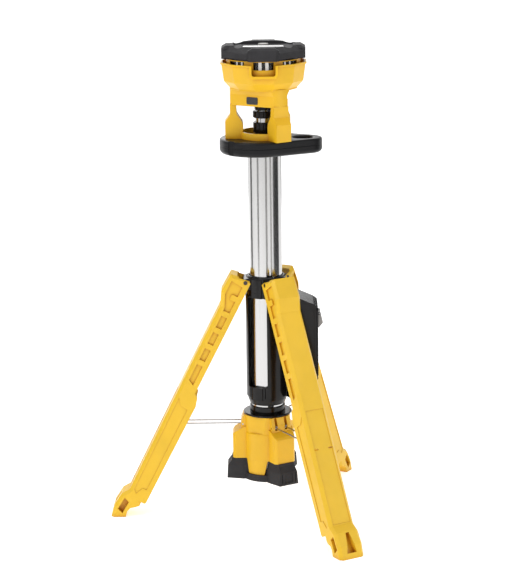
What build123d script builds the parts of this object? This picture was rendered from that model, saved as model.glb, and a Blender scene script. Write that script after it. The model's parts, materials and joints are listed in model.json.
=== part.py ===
"""Battery site light on a folding tripod.

All lengths are in millimetres.  The origin is the centre of the hub's flat underside, on the
mast's axis.  +Z runs up the mast and +X points at the battery box and the handle's loop.
The model stands with its legs open and both poles pushed down, so the light head is in its cage.
"""
from math import cos, hypot, radians, sin
import os

from build123d import *

os.makedirs("parts", exist_ok=True)

# ---------------------------------------------------------------- driving dimensions
LEG_ANGLES = (60, 180, 300)        # directions of the legs about the mast
FACE_ANGLES = (0, 120, 240)        # directions of the mast's lobes, between the legs
RUN_FIT = 0.05                     # radial clearance of a pin or a pole in its bush
GAP = 0.3                          # clearance between bodies that slide past each other
SCREW_RADIUS = 2.0
SCREW_HEAD = 3.6

# mast and telescopic poles
MAST_RADIUS = 37.0
MAST_WALL = 2.5
GROOVE_RADIUS = 7.0
GROOVE_DEPTH = 6.5
GROOVE_ANGLE = 42                  # direction of the first groove
GROOVE_CENTRE = MAST_RADIUS + GROOVE_RADIUS - GROOVE_DEPTH
MAST_BOTTOM = 14.0
MAST_TOP = 784.0
MIDDLE_RADIUS = 19.0
MIDDLE_WALL = 1.8
MIDDLE_BOTTOM = 60.0
MIDDLE_TOP = 838.0
TOP_RADIUS = 16.0
TOP_WALL = 1.6
TOP_BOTTOM = 100.0
TOP_TOP = 880.0

# hub at the foot of the mast
HUB_CORE = 57.0                    # radius of the round body between the lobes
HUB_NECK_FLAT = 53.0               # distance from the axis to the flats of the neck
LOBE_REACH = 80.0
LOBE_HALF_WIDTH = 26.5
HUB_WALL = 3.0
BOOT_HEIGHT = 48.0
SKIRT_BOTTOM = 15.0
HUB_SHOULDER = 112.0
HUB_TOP = 150.0
FLANGE_RADIUS = 55.0
FLANGE_TOP = 154.5
COLLAR_RADIUS = 40.0
COLLAR_TOP = 170.0
BASE_THICKNESS = 5.0

# carriage that slides on the mast and carries the legs
HOUSING_RADIUS = 44.0
HOUSING_BORE = 38.5
HOUSING_BOTTOM = 174.5
HOUSING_TOP = 438.0
CROWN_TOP = 473.0
WINDOW_WIDTH = 50.0
WINDOW_BOTTOM = 217.0
WINDOW_TOP = 425.0
RIB_RADIUS = 47.0                  # ribs of the housing that stand inside the folded legs
RIB_HALF_WIDTH = 26.5
PAD_RADIUS = 46.5                  # raised pads between the legs
PAD_HALF_WIDTH = 12.8

# legs, drawn along their own length
LEG_LEAN = 27.0                    # degrees from the vertical when open
HINGE_RADIUS = 46.0
HINGE_HEIGHT = 459.0
FLOOR = -90.0                      # level of the ground under the open legs
LEG_HALF_WIDTH = 31.0
CHANNEL_HALF_WIDTH = 27.5
PIVOT_PIN_RADIUS = 2.5
LUG_HALF_WIDTH = 27.0
BLOCK_COUNT = 5                    # raised blocks on each leg's flank
BLOCK_PITCH = 42.0
BLOCK_START = 43.0

# wire links between the hub and the legs
LINK_RADIUS = 57.0
LINK_HEIGHT = 127.5
LINK_LENGTH = 135.5
ROD_RADIUS = 1.7
ROD_SPACING = 25.0
LINK_PIN_RADIUS = 2.0
LINK_EYE_RADIUS = 4.5

# handle plate and the cage above it
PLATE_BOTTOM = 751.0
PLATE_SPLIT = 769.0
PLATE_TOP = 784.0
PLATE_LEFT_CENTRE = -15.0
PLATE_LEFT_RADIUS = 84.0
LOOP_CENTRE = 93.0
LOOP_RADIUS = 35.0
CAGE_BASE_TOP = 799.0
CAGE_RING_RADIUS = 54.0
POST_REACH = 75.0
POST_FLARE_REACH = 86.0
POST_HALF_WIDTH = 18.5
NECK_FLAT = 51.0                   # distance from the axis to the flats of the neck
BAND_BOTTOM = 859.0
BAND_TOP = 898.0
CUP_FLOOR_RADIUS = 89.0
CUP_SHOULDER = 913.0
RIM_RADIUS = 94.0
RIM_TOP = 954.0
CUP_WALL = 3.2
NOTCH_WIDTH = 52.0
NOTCH_BOTTOM = 931.0

# light head
DRUM_RADIUS = 84.0
DRUM_WALL = 3.0
DRUM_BOTTOM = 904.0
DRUM_TOP = 962.0
LAMP_WINDOWS = 8
LAMP_WINDOW_WIDTH = 44.0
LAMP_WINDOW_BOTTOM = 943.0
CAP_BOTTOM = 962.5
CAP_TOP = 991.0
CAP_FLAT = 87.0                    # centre to flat of the octagonal cap
BUMPER_REACH = 92.0

# battery box on the carriage
BOX_OUTER = 112.0
BOX_HALF_WIDTH = 44.0
BAY_HALF_WIDTH = 40.0
BAY_BOTTOM = 246.0
BAY_TOP = 400.0
DOOR_THICKNESS = 4.0
DOOR_BOTTOM = 240.0
DOOR_TOP = 402.0
DOOR_PIN_RADIUS = 1.6


# ---------------------------------------------------------------- planes and outlines
def radial(angle):
    """Unit vector from the mast's axis in a horizontal direction."""
    return Vector(cos(radians(angle)), sin(radians(angle)), 0)


def facing(angle, distance=0.0, height=0.0):
    """Vertical plane that looks outward: sketch x is sideways and sketch y is up."""
    out = radial(angle)
    origin = out * distance + Vector(0, 0, height)
    return Plane(origin=origin, x_dir=radial(angle + 90), z_dir=out)


def edge_on(angle, aside=0.0):
    """Vertical plane through the axis: sketch x is the radius and sketch y the height."""
    origin = radial(angle + 90) * aside
    return Plane(origin=origin, x_dir=radial(angle), z_dir=radial(angle - 90))


def leg_plane(angle, aside=0.0):
    """Plane of a leg's side: sketch x runs down the open leg and sketch y points outward."""
    lean = radians(LEG_LEAN)
    out = radial(angle)
    down_leg = out * sin(lean) - Vector(0, 0, 1) * cos(lean)
    hinge = out * HINGE_RADIUS + Vector(0, 0, HINGE_HEIGHT) + radial(angle + 90) * aside
    return Plane(origin=hinge, x_dir=down_leg, z_dir=radial(angle - 90))


def leg_face_plane(angle, depth):
    """Plane along a leg's outer face: sketch x runs down the leg and sketch y sideways."""
    lean = radians(LEG_LEAN)
    out = radial(angle)
    down_leg = out * sin(lean) - Vector(0, 0, 1) * cos(lean)
    outward = out * cos(lean) + Vector(0, 0, 1) * sin(lean)
    hinge = out * HINGE_RADIUS + Vector(0, 0, HINGE_HEIGHT)
    return Plane(origin=hinge + outward * depth, x_dir=down_leg, z_dir=outward)


def leg_section_plane(angle, along):
    """Plane square across a leg: sketch x runs sideways and sketch y points outward."""
    lean = radians(LEG_LEAN)
    out = radial(angle)
    down_leg = out * sin(lean) - Vector(0, 0, 1) * cos(lean)
    hinge = out * HINGE_RADIUS + Vector(0, 0, HINGE_HEIGHT)
    return Plane(origin=hinge + down_leg * along, x_dir=radial(angle - 90), z_dir=down_leg)


def mast_outline(clearance=0.0):
    """Three-lobed section of the mast, grown by a clearance."""
    with BuildSketch(mode=Mode.PRIVATE) as section:
        Circle(MAST_RADIUS + clearance)
        with PolarLocations(GROOVE_CENTRE, 3, start_angle=GROOVE_ANGLE):
            Circle(GROOVE_RADIUS - clearance, mode=Mode.SUBTRACT)
    return section.sketch


def hub_outline(shrink=0.0):
    """Section of the hub: a round body with a lobe under each leg."""
    with BuildSketch(mode=Mode.PRIVATE) as section:
        Circle(HUB_CORE - shrink)
        for angle in LEG_ANGLES:
            with Locations(Location((0, 0, 0), (0, 0, angle))):
                with Locations(((LOBE_REACH - shrink) / 2, 0)):
                    Rectangle(LOBE_REACH - shrink, 2 * (LOBE_HALF_WIDTH - shrink))
    return section.sketch


def sleeve_strip(angle, radius, half_width):
    """Section of a strip on a round sleeve, in one direction from the mast's axis."""
    inner = 30
    with BuildSketch(mode=Mode.PRIVATE) as section:
        Circle(radius)
        with Locations(Location((0, 0, 0), (0, 0, angle))):
            with Locations(((radius + inner) / 2, 0)):
                Rectangle(radius - inner, 2 * half_width, mode=Mode.INTERSECT)
    return section.sketch


def save(piece, name):
    """Label one finished piece and write its STEP file."""
    piece.part.label = name
    export_step(piece.part, f"parts/{name}.step")


# ---------------------------------------------------------------- mast
with BuildPart() as mast_tube:
    with BuildSketch(Plane.XY.offset(MAST_BOTTOM)):
        add(mast_outline())
        add(mast_outline(-MAST_WALL), mode=Mode.SUBTRACT)
    extrude(amount=MAST_TOP - MAST_BOTTOM)
save(mast_tube, "mast_tube")

PLUG_DEPTH = 26.0
with BuildPart() as mast_foot_plug:
    with BuildSketch(Plane.XY.offset(BASE_THICKNESS)):
        Circle(MAST_RADIUS + 3)
    extrude(amount=MAST_BOTTOM - BASE_THICKNESS)
    with BuildSketch(Plane.XY.offset(MAST_BOTTOM)):
        add(mast_outline(-MAST_WALL))
    extrude(amount=PLUG_DEPTH)
    with BuildSketch(Plane.XY.offset(MAST_BOTTOM)):
        Circle(14)
    extrude(amount=PLUG_DEPTH, mode=Mode.SUBTRACT)
save(mast_foot_plug, "mast_foot_plug")

COLLET_TOP = 815.0
BUSH_DEPTH = 70.0
BUSH_FLANGE = 3.0
with BuildPart() as mast_top_bush:
    with BuildSketch(Plane.XY.offset(MAST_TOP - BUSH_DEPTH)):
        add(mast_outline(-MAST_WALL))
    extrude(amount=BUSH_DEPTH)
    with BuildSketch(Plane.XY.offset(MAST_TOP)):
        Circle(MAST_RADIUS - 0.5)
    extrude(amount=BUSH_FLANGE)
    with BuildSketch(Plane.XY.offset(MAST_TOP + BUSH_FLANGE)):
        Circle(MIDDLE_RADIUS + 1.6)
    extrude(amount=COLLET_TOP - MAST_TOP - BUSH_FLANGE)
    with BuildSketch(Plane.XY.offset(MAST_TOP - BUSH_DEPTH)):
        Circle(MIDDLE_RADIUS + RUN_FIT)
    extrude(amount=COLLET_TOP, mode=Mode.SUBTRACT)
    # the collet is slit so that the twist collar can squeeze it
    for angle in (30, 90, 150, 210, 270, 330):
        with BuildSketch(facing(angle, MIDDLE_RADIUS - 1, COLLET_TOP)):
            Rectangle(1.6, 36)
        extrude(amount=4, mode=Mode.SUBTRACT)
save(mast_top_bush, "mast_top_bush")

# ---------------------------------------------------------------- hub
PIN_BOSS_HALF_WIDTH = 24.0
ROD_SLOT_WIDTH = 6.2
with BuildPart() as hub_skirts:
    for angle in FACE_ANGLES:
        with BuildSketch(facing(angle, HUB_CORE - 20)):
            with BuildLine():
                Polyline((-27, BOOT_HEIGHT + 1), (-20, SKIRT_BOTTOM), (20, SKIRT_BOTTOM),
                         (27, BOOT_HEIGHT + 1), close=True)
            make_face()
        extrude(amount=30)
    with BuildSketch(Plane.XY.offset(SKIRT_BOTTOM)):
        Circle(HUB_CORE - 0.3)
        Circle(HUB_CORE - HUB_WALL - 0.3, mode=Mode.SUBTRACT)
    extrude(amount=BOOT_HEIGHT + 1 - SKIRT_BOTTOM, mode=Mode.INTERSECT)

with BuildPart() as hub_lobes:
    for angle in LEG_ANGLES:
        with BuildSketch(edge_on(angle)):
            with BuildLine():
                Polyline((20, BOOT_HEIGHT), (LOBE_REACH, BOOT_HEIGHT), (LOBE_REACH, 104),
                         (LOBE_REACH - 4, 109), (54, 122), (20, 122), close=True)
            make_face()
        extrude(amount=LOBE_HALF_WIDTH, both=True)
    lobe_corners = hub_lobes.edges().filter_by(Axis.Z).filter_by(
        lambda edge: hypot(edge.center().X, edge.center().Y) > LOBE_REACH)
    chamfer(lobe_corners, 5.5)

with BuildPart() as hub_neck:
    with BuildSketch(Plane.XY.offset(HUB_SHOULDER - 7)):
        RegularPolygon(HUB_NECK_FLAT, 6, major_radius=False, rotation=30)
    extrude(amount=HUB_TOP - HUB_SHOULDER + 7, taper=3.5)
    with BuildSketch(Plane.XY.offset(HUB_SHOULDER - 7)):
        Circle(HUB_CORE - 1)
    extrude(amount=HUB_TOP - HUB_SHOULDER + 7, mode=Mode.INTERSECT)

with BuildPart() as hub_shell:
    with BuildSketch(Plane.XY.offset(BOOT_HEIGHT)):
        Circle(HUB_CORE)
    extrude(amount=HUB_SHOULDER - BOOT_HEIGHT)
    fillet(hub_shell.faces().sort_by(Axis.Z)[-1].edges(), 4)
    add(hub_neck.part)
    add(hub_lobes.part)
    add(hub_skirts.part)
    # boss that holds each leg link's pivot pin
    for angle in LEG_ANGLES:
        with BuildSketch(edge_on(angle)):
            with BuildLine():
                Polyline((40, 118), (LINK_RADIUS + 4, 118), (LINK_RADIUS + 4, LINK_HEIGHT + 6.5),
                         (LINK_RADIUS - 2, HUB_TOP - 0.5), (40, HUB_TOP - 0.5), close=True)
            make_face()
        extrude(amount=PIN_BOSS_HALF_WIDTH, both=True)
    # hollow inside, with a sleeve for the mast
    with BuildSketch(Plane.XY.offset(BOOT_HEIGHT)):
        add(hub_outline(HUB_WALL))
    extrude(amount=HUB_SHOULDER - BOOT_HEIGHT - 11, mode=Mode.SUBTRACT)
    with BuildSketch(Plane.XY.offset(BOOT_HEIGHT + 10)):
        Circle(MAST_RADIUS + 5)
    extrude(amount=HUB_TOP - BOOT_HEIGHT - 10)
    with BuildSketch(Plane.XY.offset(SKIRT_BOTTOM)):
        add(mast_outline(0.1))
    extrude(amount=HUB_TOP, mode=Mode.SUBTRACT)
    # slots for the rods and their eyes, and the bore for the pin
    for angle in LEG_ANGLES:
        for side in (-1, 1):
            with BuildSketch(edge_on(angle, side * ROD_SPACING / 2)):
                with BuildLine():
                    Polyline((LINK_RADIUS - 5.5, 121.5), (LINK_RADIUS + 40, 121.5),
                             (LINK_RADIUS + 40, HUB_TOP + 1), (LINK_RADIUS - 5.5, HUB_TOP + 1),
                             close=True)
                make_face()
            extrude(amount=ROD_SLOT_WIDTH / 2, both=True, mode=Mode.SUBTRACT)
        with BuildSketch(edge_on(angle)):
            with Locations((LINK_RADIUS, LINK_HEIGHT)):
                Circle(LINK_PIN_RADIUS)
        extrude(amount=PIN_BOSS_HALF_WIDTH + 1, both=True, mode=Mode.SUBTRACT)
save(hub_shell, "hub_shell")

# sections of a rubber foot: height, reach and half-width of the shoulder, reach and half-width of the nose
FOOT_SECTIONS = ((0, 58, 33, 94, 24), (29, 58, 30, 92.5, 22), (42, 56, 26.3, 83, 20),
                 (BOOT_HEIGHT, 56, 26.3, 82, 20))
with BuildPart() as hub_boot:
    for angle in LEG_ANGLES:
        for height, shoulder, shoulder_half, nose, nose_half in FOOT_SECTIONS:
            with BuildSketch(Plane.XY.offset(height)):
                with Locations(Location((0, 0, 0), (0, 0, angle))):
                    Polygon((25, -shoulder_half), (shoulder, -shoulder_half), (nose, -nose_half),
                            (nose, nose_half), (shoulder, shoulder_half), (25, shoulder_half),
                            align=None)
        loft(ruled=True)
    with BuildSketch():
        Circle(HUB_CORE + 4)
    extrude(amount=SKIRT_BOTTOM, taper=4)
    # room for the base plate, the mast's plug and the skirts
    with BuildSketch():
        Circle(47)
    extrude(amount=BOOT_HEIGHT, mode=Mode.SUBTRACT)
    for angle in FACE_ANGLES:
        with BuildSketch(facing(angle, 20, 0)):
            with BuildLine():
                Polyline((-27.5, BOOT_HEIGHT + 1), (-20.5, SKIRT_BOTTOM), (20.5, SKIRT_BOTTOM),
                         (27.5, BOOT_HEIGHT + 1), close=True)
            make_face()
        extrude(amount=60, mode=Mode.SUBTRACT)
    # the nose of each foot: a sunk panel between two slits
    for angle in LEG_ANGLES:
        for aside, half_width in ((0, 11), (-17, 1), (17, 1)):
            with BuildSketch(edge_on(angle, aside)):
                with BuildLine():
                    Polyline((91.7, 5), (100, 5), (100, 27), (90.6, 27), close=True)
                make_face()
            extrude(amount=half_width, both=True, mode=Mode.SUBTRACT)
save(hub_boot, "hub_boot")

SCREW_CIRCLE = 42.5
with BuildPart() as hub_base_plate:
    with BuildSketch():
        Circle(47)
    extrude(amount=BASE_THICKNESS)
    with BuildSketch():
        with PolarLocations(SCREW_CIRCLE, 3, start_angle=60):
            Circle(SCREW_RADIUS)
    extrude(amount=BASE_THICKNESS, mode=Mode.SUBTRACT)
    with BuildSketch():
        with PolarLocations(SCREW_CIRCLE, 3, start_angle=60):
            Circle(SCREW_HEAD + 0.4)
    extrude(amount=3, mode=Mode.SUBTRACT)
save(hub_base_plate, "hub_base_plate")

with BuildPart() as hub_screws:
    with BuildSketch(Plane.XY.offset(0.8)):
        with PolarLocations(SCREW_CIRCLE, 3, start_angle=60):
            Circle(SCREW_HEAD)
    extrude(amount=2.2)
    with BuildSketch(Plane.XY.offset(3)):
        with PolarLocations(SCREW_CIRCLE, 3, start_angle=60):
            Circle(SCREW_RADIUS)
    extrude(amount=14)
    with BuildSketch(Plane.XY.offset(0.8)):
        with PolarLocations(SCREW_CIRCLE, 3, start_angle=60):
            RegularPolygon(1.8, 6)
    extrude(amount=1.4, mode=Mode.SUBTRACT)
save(hub_screws, "hub_screws")

with BuildPart() as link_pivot_pins:
    for angle in LEG_ANGLES:
        with BuildSketch(edge_on(angle)):
            with Locations((LINK_RADIUS, LINK_HEIGHT)):
                Circle(LINK_PIN_RADIUS)
        extrude(amount=PIN_BOSS_HALF_WIDTH - 1, both=True)
save(link_pivot_pins, "link_pivot_pins")

with BuildPart() as hub_collar:
    with BuildSketch(Plane.XY.offset(HUB_TOP)):
        Circle(FLANGE_RADIUS)
    extrude(amount=FLANGE_TOP - HUB_TOP)
    fillet(hub_collar.edges().filter_by(GeomType.CIRCLE), 1.5)
    with BuildSketch(Plane.XY.offset(FLANGE_TOP)):
        Circle(COLLAR_RADIUS)
    extrude(amount=COLLAR_TOP - FLANGE_TOP)
    fillet(hub_collar.faces().sort_by(Axis.Z)[-1].edges(), 1.5)
    with BuildSketch(Plane.XY.offset(HUB_TOP)):
        add(mast_outline(0.1))
    extrude(amount=COLLAR_TOP, mode=Mode.SUBTRACT)
save(hub_collar, "hub_collar")

# ---------------------------------------------------------------- carriage
with BuildPart() as carriage_housing:
    with BuildSketch(edge_on(0)):
        with BuildLine():
            Polyline((HOUSING_BORE, HOUSING_BOTTOM), (COLLAR_RADIUS, HOUSING_BOTTOM),
                     (HOUSING_RADIUS, HOUSING_BOTTOM + 11.5), (HOUSING_RADIUS, HOUSING_TOP),
                     (HOUSING_BORE, HOUSING_TOP), close=True)
        make_face()
    revolve(axis=Axis.Z)
    for angle in LEG_ANGLES:
        with BuildSketch(Plane.XY.offset(HOUSING_BOTTOM + 18)):
            add(sleeve_strip(angle, RIB_RADIUS, RIB_HALF_WIDTH))
        extrude(amount=HOUSING_TOP - HOUSING_BOTTOM - 28)
    for angle in FACE_ANGLES[1:]:
        with BuildSketch(Plane.XY.offset(HOUSING_BOTTOM + 13)):
            add(sleeve_strip(angle, PAD_RADIUS, PAD_HALF_WIDTH))
        extrude(amount=HOUSING_TOP - HOUSING_BOTTOM - 13)
    with BuildSketch(Plane.XY.offset(HOUSING_BOTTOM)):
        Circle(HOUSING_BORE)
    extrude(amount=HOUSING_TOP - HOUSING_BOTTOM, mode=Mode.SUBTRACT)
    # long windows that show the mast
    for angle in FACE_ANGLES[1:]:
        with BuildSketch(facing(angle, 20, (WINDOW_BOTTOM + WINDOW_TOP) / 2)):
            RectangleRounded(WINDOW_WIDTH, WINDOW_TOP - WINDOW_BOTTOM, 5)
        extrude(amount=40, mode=Mode.SUBTRACT)
save(carriage_housing, "carriage_housing")

LUG_RADIUS = 8.0
with BuildPart() as hinge_crown:
    with BuildSketch(Plane.XY.offset(HOUSING_TOP)):
        Circle(HOUSING_RADIUS)
    extrude(amount=CROWN_TOP - HOUSING_TOP)
    chamfer(hinge_crown.faces().sort_by(Axis.Z)[-1].edges(), 2.5)
    for angle in FACE_ANGLES[1:]:
        with BuildSketch(Plane.XY.offset(HOUSING_TOP)):
            add(sleeve_strip(angle, PAD_RADIUS, PAD_HALF_WIDTH))
        extrude(amount=CROWN_TOP - HOUSING_TOP - 5)
    for angle in LEG_ANGLES:
        with BuildSketch(edge_on(angle)):
            with BuildLine():
                Polyline((30, HINGE_HEIGHT - 18), (40, HINGE_HEIGHT - 16), (50, HINGE_HEIGHT - 6.9),
                         (50, HINGE_HEIGHT + 6.9), (40, HINGE_HEIGHT + 10),
                         (30, HINGE_HEIGHT + 10), close=True)
            make_face()
            with Locations((HINGE_RADIUS, HINGE_HEIGHT)):
                Circle(LUG_RADIUS)
        extrude(amount=LUG_HALF_WIDTH, both=True)
        with BuildSketch(edge_on(angle)):
            with Locations((HINGE_RADIUS, HINGE_HEIGHT)):
                Circle(PIVOT_PIN_RADIUS)
        extrude(amount=LUG_HALF_WIDTH + 1, both=True, mode=Mode.SUBTRACT)
    with BuildSketch(Plane.XY.offset(HOUSING_TOP)):
        Circle(MAST_RADIUS + 1.5)
    extrude(amount=CROWN_TOP, mode=Mode.SUBTRACT)
save(hinge_crown, "hinge_crown")


def guide_bush(bottom, height):
    """Plastic bush that lines the housing and keys into the mast's grooves."""
    with BuildPart() as bush:
        with BuildSketch(Plane.XY.offset(bottom)):
            Circle(HOUSING_BORE)
            add(mast_outline(GAP), mode=Mode.SUBTRACT)
        extrude(amount=height)
    return bush


LOWER_BUSH_HEIGHT = 24.0
UPPER_BUSH_HEIGHT = 12.0
save(guide_bush(HOUSING_BOTTOM + 1, LOWER_BUSH_HEIGHT), "lower_guide_bush")
save(guide_bush(HOUSING_TOP - UPPER_BUSH_HEIGHT, UPPER_BUSH_HEIGHT), "upper_guide_bush")

PIN_HEAD_RADIUS = 4.4
PIN_HEAD_THICKNESS = 1.6
with BuildPart() as leg_pivot_pins:
    for angle in LEG_ANGLES:
        with BuildSketch(edge_on(angle)):
            with Locations((HINGE_RADIUS, HINGE_HEIGHT)):
                Circle(PIVOT_PIN_RADIUS)
        extrude(amount=LEG_HALF_WIDTH - 1, both=True)
        for side in (-1, 1):
            with BuildSketch(edge_on(angle, side * (LEG_HALF_WIDTH - 1 - PIN_HEAD_THICKNESS / 2))):
                with Locations((HINGE_RADIUS, HINGE_HEIGHT)):
                    Circle(PIN_HEAD_RADIUS)
            extrude(amount=PIN_HEAD_THICKNESS / 2, both=True)
            with BuildSketch(edge_on(angle, side * (LEG_HALF_WIDTH - 1))):
                with Locations((HINGE_RADIUS, HINGE_HEIGHT)):
                    RegularPolygon(2.0, 6)
            extrude(amount=1.0, both=True, mode=Mode.SUBTRACT)
save(leg_pivot_pins, "leg_pivot_pins")

# ---------------------------------------------------------------- legs
LEAN_SINE = sin(radians(LEG_LEAN))
LEAN_COSINE = cos(radians(LEG_LEAN))


def on_floor(depth):
    """Point of a leg's side profile that touches the ground, at a depth from the hinge line."""
    return ((HINGE_HEIGHT - FLOOR + depth * LEAN_SINE) / LEAN_COSINE, depth)


LEG_OUTSIDE = ((-3, 38), (43, 40), (73, 28), (171, 27.5), (293, 26.5), (555, 23.5), (572, 35),
               (603, 38.5), on_floor(33))
LEG_INSIDE = (on_floor(3), (604, 6), (594, 3), (580, -15), (566, -24), (309, -26), (288, -20),
              (282, -11), (157, -11), (-3, -11), (-8, -6), (-8, 8))
POCKET = ((-12, -40), (-12, 21), (43, 35.6), (70, 24.3), (171, 24), (293, 23), (545, 20.2),
          (558, 10), (566, -3), (597, -3), (601, -40))
CLEARANCE_POCKET = ((-12, -40), (-12, 19), (11, 19), (11, 0), (284, 0), (284, 18.5), (546, 18.5),
                    (558, 10), (566, -3), (597, -3), (601, -40))
POCKET_HALF_WIDTH = 25.0
EDGE_CHAMFER = 6.5
FLANK_DEPTH = 3.5


def build_leg(angle):
    """One leg: a moulded channel that is open toward the mast and ends in a ribbed foot."""
    side_plane = leg_plane(angle)
    with BuildPart() as leg:
        with BuildSketch(side_plane):
            with BuildLine():
                Polyline(*LEG_OUTSIDE, *LEG_INSIDE, close=True)
            make_face()
        extrude(amount=LEG_HALF_WIDTH, both=True)
        long_edges = leg.edges().filter_by(
            lambda edge: abs(abs((edge.center() - side_plane.origin).dot(side_plane.z_dir))
                             - LEG_HALF_WIDTH) < 0.1)
        outer = [edge for edge in long_edges if side_plane.to_local_coords(edge.center()).Y > 20]
        chamfer(outer, EDGE_CHAMFER)
        for points, half_width in ((POCKET, POCKET_HALF_WIDTH),
                                   (CLEARANCE_POCKET, CHANNEL_HALF_WIDTH)):
            with BuildSketch(side_plane):
                with BuildLine():
                    Polyline(*points, close=True)
                make_face()
            extrude(amount=half_width, both=True, mode=Mode.SUBTRACT)
        for side in (-1, 1):
            # upper flank: a sunk channel with raised blocks, ending in a slanted edge
            with BuildSketch(leg_plane(angle, -side * (LEG_HALF_WIDTH - FLANK_DEPTH))):
                with BuildLine():
                    Polyline((12, 1.6), (9, 30), (42, 30), (69, 18), (84, 15.3), (258, 15.3),
                             (266, 1.6), close=True)
                make_face()
                with Locations(*[(BLOCK_START + BLOCK_PITCH * count, 8.2)
                                 for count in range(BLOCK_COUNT)]):
                    RectangleRounded(13, 15.4, 3, mode=Mode.SUBTRACT)
            extrude(amount=side * 5, mode=Mode.SUBTRACT)
            # lower flank: a shallow sunk panel
            with BuildSketch(leg_plane(angle, -side * (LEG_HALF_WIDTH - 1.2))):
                with BuildLine():
                    Polyline((324, -12), (322, 6), (306, 17), (548, 14.5), (556, 6), (538, -2),
                             (538, -12), close=True)
                make_face()
            extrude(amount=side * 3, mode=Mode.SUBTRACT)
            # seat for the head of the pivot pin
            with BuildSketch(leg_plane(angle, -side * (LEG_HALF_WIDTH - 3))):
                Circle(PIN_HEAD_RADIUS + GAP)
            extrude(amount=side * 4, mode=Mode.SUBTRACT)
            # the toe narrows toward its tip
            with BuildSketch(leg_section_plane(angle, 570)):
                with BuildLine():
                    Polyline((side * 31.5, 4), (side * 17, 39), (side * 17, 60), (side * 50, 60),
                             (side * 50, 4), close=True)
                make_face()
            extrude(amount=90, mode=Mode.SUBTRACT)
            # side recess of the toe
            with BuildSketch(leg_plane(angle, -side * 19)):
                with BuildLine():
                    Polyline((582, 12), (577, 25), (608, 28), (613, 14), close=True)
                make_face()
            extrude(amount=side * 20, mode=Mode.SUBTRACT)
        with BuildSketch(side_plane):
            Circle(PIVOT_PIN_RADIUS + RUN_FIT)
        extrude(amount=LEG_HALF_WIDTH + 1, both=True, mode=Mode.SUBTRACT)
        # sunk panel on the outer face of the lower half
        with BuildSketch(side_plane):
            with BuildLine():
                Polyline((297, 25.4), (297, 40), (560, 40), (552, 22.5), close=True)
            make_face()
        extrude(amount=22, both=True, mode=Mode.SUBTRACT)
        # pocket in the front of the toe
        with BuildSketch(leg_face_plane(angle, 22)):
            with BuildLine():
                Polyline((575, -4), (575, 4), (620, 12), (620, -12), close=True)
            make_face()
        extrude(amount=30, mode=Mode.SUBTRACT)
        # two slots through the outer wall
        with BuildSketch(leg_face_plane(angle, 15)):
            with Locations((385, -18), (385, 18)):
                SlotOverall(11, 3.2, rotation=90)
        extrude(amount=20, mode=Mode.SUBTRACT)
    return leg


LEG_NAMES = {180: "left", 300: "front", 60: "rear"}
for angle, place in LEG_NAMES.items():
    save(build_leg(angle), f"leg_{place}")


# ---------------------------------------------------------------- wire links
def build_link(angle):
    """Pair of steel rods with eyes on the hub's pin and a cross bar inside the leg."""
    outer_end = LINK_RADIUS + LINK_LENGTH
    with BuildPart() as link:
        for side in (-1, 1):
            with BuildSketch(facing(angle, LINK_RADIUS + 2.5, LINK_HEIGHT)):
                with Locations((side * ROD_SPACING / 2, 0)):
                    Circle(ROD_RADIUS)
            extrude(amount=LINK_LENGTH - 2.5)
            with BuildSketch(edge_on(angle, side * ROD_SPACING / 2)):
                with Locations((LINK_RADIUS, LINK_HEIGHT)):
                    Circle(LINK_EYE_RADIUS)
            extrude(amount=2.8, both=True)
        with BuildSketch(edge_on(angle)):
            with Locations((outer_end, LINK_HEIGHT)):
                Circle(ROD_RADIUS)
        extrude(amount=CHANNEL_HALF_WIDTH - 0.6, both=True)
        with BuildSketch(edge_on(angle)):
            with Locations((LINK_RADIUS, LINK_HEIGHT)):
                Circle(LINK_PIN_RADIUS + RUN_FIT)
        extrude(amount=ROD_SPACING, both=True, mode=Mode.SUBTRACT)
    return link


for angle, place in LEG_NAMES.items():
    save(build_link(angle), f"link_{place}")


# ---------------------------------------------------------------- handle plate
def handle_outline(inset=0.0):
    """Outline of the handle plate: a broad disc drawn out into a loop on one side."""
    with BuildSketch(mode=Mode.PRIVATE) as section:
        with BuildLine():
            disc = CenterArc((PLATE_LEFT_CENTRE, 0), PLATE_LEFT_RADIUS - inset, 0, 360)
            loop = CenterArc((LOOP_CENTRE, 0), LOOP_RADIUS - inset, 0, 360)
        make_hull()
    return section.sketch


def loop_opening(grow=0.0):
    """Finger opening of the handle's loop."""
    with BuildSketch(mode=Mode.PRIVATE) as section:
        with Locations((85, 0)):
            RectangleRounded(44 + 2 * grow, 40 + 2 * grow, 18 + grow)
    return section.sketch


def handle_shell(low, high, outer_face, edge_radius):
    """Half of the handle: rounded on its outer face and open round the mast."""
    with BuildPart() as shell:
        with BuildSketch(Plane.XY.offset(low)):
            add(handle_outline())
            add(loop_opening(), mode=Mode.SUBTRACT)
        extrude(amount=high - low)
        order = -1 if outer_face > 0 else 0
        fillet(shell.faces().sort_by(Axis.Z)[order].outer_wire().edges(), edge_radius)
        fillet(shell.faces().sort_by(Axis.Z)[order].inner_wires()[0].edges(), 5)
        # small bevel along the parting line
        chamfer(shell.faces().sort_by(Axis.Z)[-1 - order].outer_wire().edges(), 0.8)
        # grip recess at the left, opposite the loop
        with BuildSketch(Plane.XY.offset(low)):
            for side in (-1, 1):
                with Locations((-75, side * 61)):
                    Circle(8.5)
        extrude(amount=high - low, mode=Mode.SUBTRACT)
        with BuildSketch(Plane.XY.offset(low)):
            Circle(MAST_RADIUS + 0.1)
        extrude(amount=high - low, mode=Mode.SUBTRACT)
    return shell


save(handle_shell(PLATE_BOTTOM, PLATE_SPLIT, -1, 9), "handle_lower_shell")
save(handle_shell(PLATE_SPLIT, PLATE_TOP, 1, 5), "handle_upper_shell")

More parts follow.
